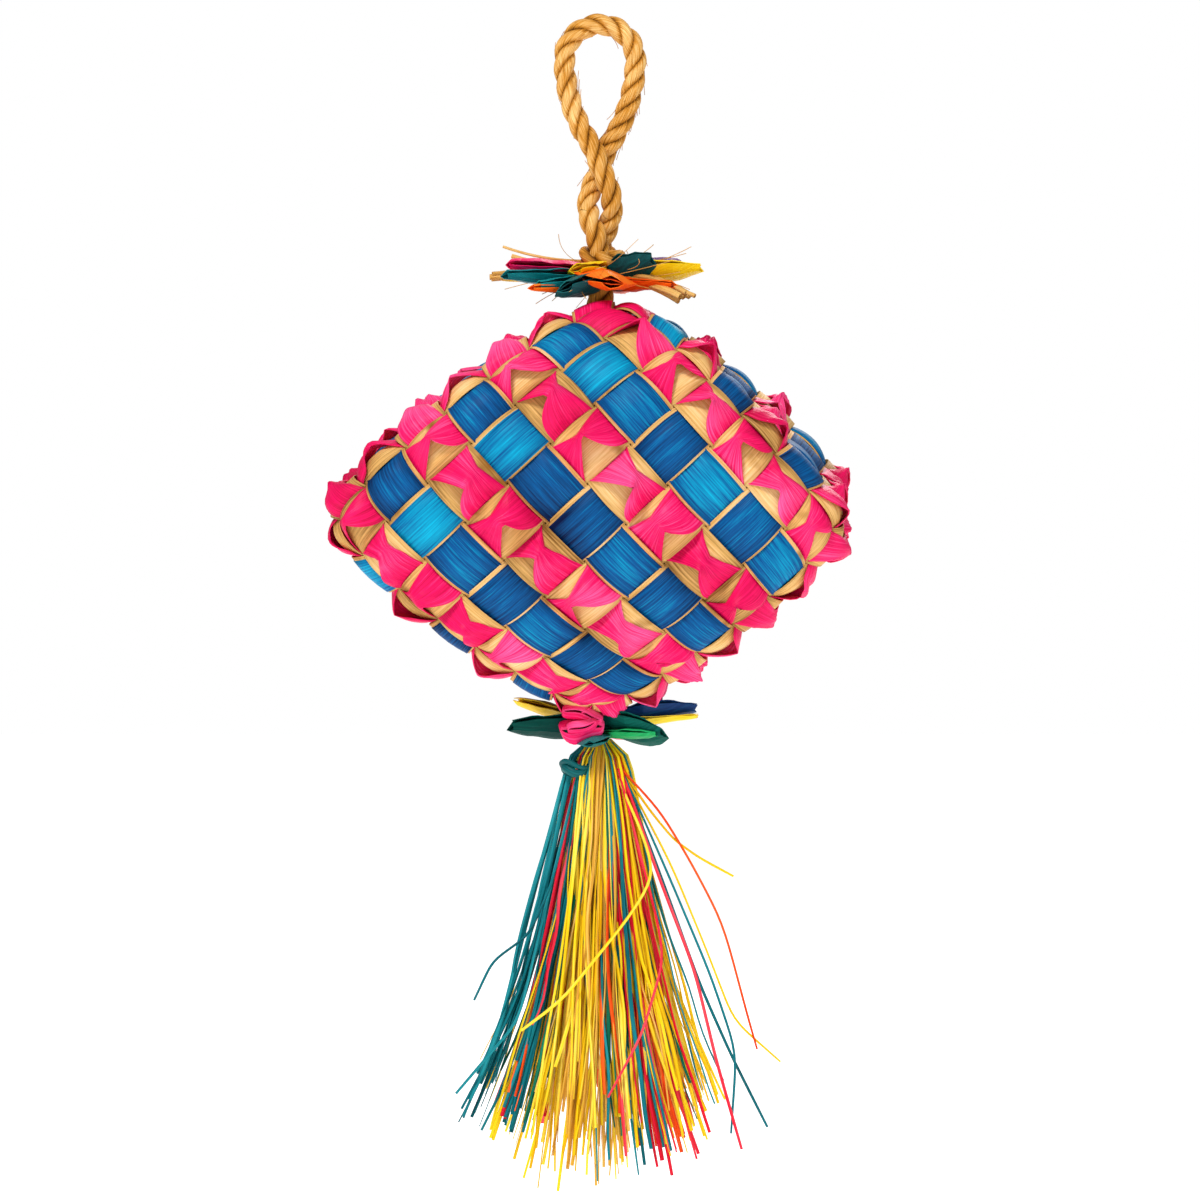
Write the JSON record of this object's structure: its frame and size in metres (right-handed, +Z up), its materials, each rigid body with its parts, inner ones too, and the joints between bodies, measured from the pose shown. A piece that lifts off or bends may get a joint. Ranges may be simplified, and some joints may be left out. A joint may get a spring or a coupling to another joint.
{
  "type": "hanging woven pinata",
  "caption": "Palm-leaf basket woven from flat and pointed dyed strips, hung by one corner from a rope loop, with leaf flowers and a shredded tassel.",
  "frame": {"origin": "inside top of the hanging loop, where it rests on a hook", "axes": "+Z up along the rope, +X to the right in the plane of the hanging loop, -Y towards the front, which the basket faces 4 degrees to the left of"},
  "size_m": [0.1984, 0.1028, 0.4511],
  "materials": {
    "blue_leaf": "dyed palm leaf, satin, streaked",
    "bright_green_leaf": "dyed palm leaf",
    "dark_green_leaf": "dyed palm leaf",
    "dark_teal_leaf": "dyed palm leaf",
    "leaf_fibre": "shredded undyed leaf",
    "natural_leaf": "dry undyed palm leaf, lengthwise grain",
    "natural_rope": "three-strand laid natural fibre",
    "navy_leaf": "dyed palm leaf",
    "orange_leaf": "dyed palm leaf",
    "pink_leaf": "dyed palm leaf, satin",
    "purple_leaf": "dyed palm leaf",
    "tassel_natural": "shredded undyed leaf",
    "tassel_red": "shredded dyed leaf",
    "tassel_teal": "shredded dyed leaf",
    "tassel_yellow": "shredded dyed leaf",
    "teal_leaf": "dyed palm leaf",
    "yellow_leaf": "dyed palm leaf"
  },
  "bodies": {
    "hanger": {"hanging_loop": "natural_rope"},
    "rope_neck": {"rope_leg_left": "natural_rope", "rope_leg_right": "natural_rope"},
    "knot": {"top_knot": "natural_rope"},
    "top_flower": {"top_flower_sprigs": "leaf_fibre", "top_flower_tie": "leaf_fibre", "top_petal_dark_teal": "dark_teal_leaf", "top_petal_orange": "orange_leaf", "top_petal_pink": "pink_leaf", "top_petal_purple": "purple_leaf", "top_petal_teal": "teal_leaf", "top_petal_yellow": "yellow_leaf"},
    "basket": {"falling_strip_1_dyed": "pink_leaf", "falling_strip_1_natural": "natural_leaf", "falling_strip_2_dyed": "blue_leaf", "falling_strip_2_natural": "natural_leaf", "falling_strip_3_dyed": "pink_leaf", "falling_strip_3_natural": "natural_leaf", "falling_strip_4_dyed": "blue_leaf", "falling_strip_4_natural": "natural_leaf", "falling_strip_5_dyed": "pink_leaf", "falling_strip_5_natural": "natural_leaf", "falling_strip_6_dyed": "blue_leaf", "falling_strip_6_natural": "natural_leaf", "falling_strip_7_dyed": "pink_leaf", "falling_strip_7_natural": "natural_leaf", "fibre_filling": "leaf_fibre", "inner_cord": "natural_rope", "rim_strip_1_natural": "natural_leaf", "rim_strip_2_natural": "natural_leaf", "rim_strip_3_natural": "natural_leaf", "rim_strip_4_natural": "natural_leaf", "rim_strips_blue": "blue_leaf", "rim_strips_pink": "pink_leaf", "rising_strip_1_dyed": "pink_leaf", "rising_strip_1_natural": "natural_leaf", "rising_strip_2_dyed": "blue_leaf", "rising_strip_2_natural": "natural_leaf", "rising_strip_3_dyed": "pink_leaf", "rising_strip_3_natural": "natural_leaf", "rising_strip_4_dyed": "blue_leaf", "rising_strip_4_natural": "natural_leaf", "rising_strip_5_dyed": "pink_leaf", "rising_strip_5_natural": "natural_leaf", "rising_strip_6_dyed": "blue_leaf", "rising_strip_6_natural": "natural_leaf", "rising_strip_7_dyed": "pink_leaf", "rising_strip_7_natural": "natural_leaf"},
    "bottom_flower": {"bottom_flower_tie": "leaf_fibre", "bottom_petal_bright_green": "bright_green_leaf", "bottom_petal_dark_green": "dark_green_leaf", "bottom_petal_navy": "navy_leaf", "bottom_petal_pink": "pink_leaf", "bottom_petal_yellow": "yellow_leaf"},
    "tassel_link": {"tassel_knot": "natural_rope"},
    "tassel": {"tassel_binding": "teal_leaf", "tassel_bundle_natural": "tassel_natural", "tassel_bundle_red": "tassel_red", "tassel_bundle_teal": "tassel_teal", "tassel_bundle_yellow": "tassel_yellow"}
  },
  "joints": [
    {"name": "neck_swing_side", "type": "hinge", "parent": "hanger", "child": "rope_neck", "pos_m": [0, 0, -0.048], "axis": [0, 1, 0], "range_deg": [-40, 40]},
    {"name": "neck_swing_front", "type": "hinge", "parent": "rope_neck", "child": "knot", "pos_m": [0, 0, -0.0868], "axis": [1, 0, 0], "range_deg": [-40, 40]},
    {"name": "basket_twist", "type": "hinge", "parent": "knot", "child": "basket", "pos_m": [0, 0, -0.0868], "axis": [0, 0, 1], "range_deg": [-180, 180]},
    {"name": "top_flower_turn", "type": "hinge", "parent": "knot", "child": "top_flower", "pos_m": [0, 0, -0.0868], "axis": [0, 0, 1], "continuous": true},
    {"name": "bottom_flower_turn", "type": "hinge", "parent": "basket", "child": "bottom_flower", "pos_m": [0, 0, -0.277], "axis": [0, 0, 1], "continuous": true},
    {"name": "tassel_swing_side", "type": "hinge", "parent": "basket", "child": "tassel_link", "pos_m": [0, 0, -0.277], "axis": [0, 1, 0], "range_deg": [-45, 45]},
    {"name": "tassel_swing_front", "type": "hinge", "parent": "tassel_link", "child": "tassel", "pos_m": [0, 0, -0.277], "axis": [1, 0, 0], "range_deg": [-45, 45]}
  ]
}
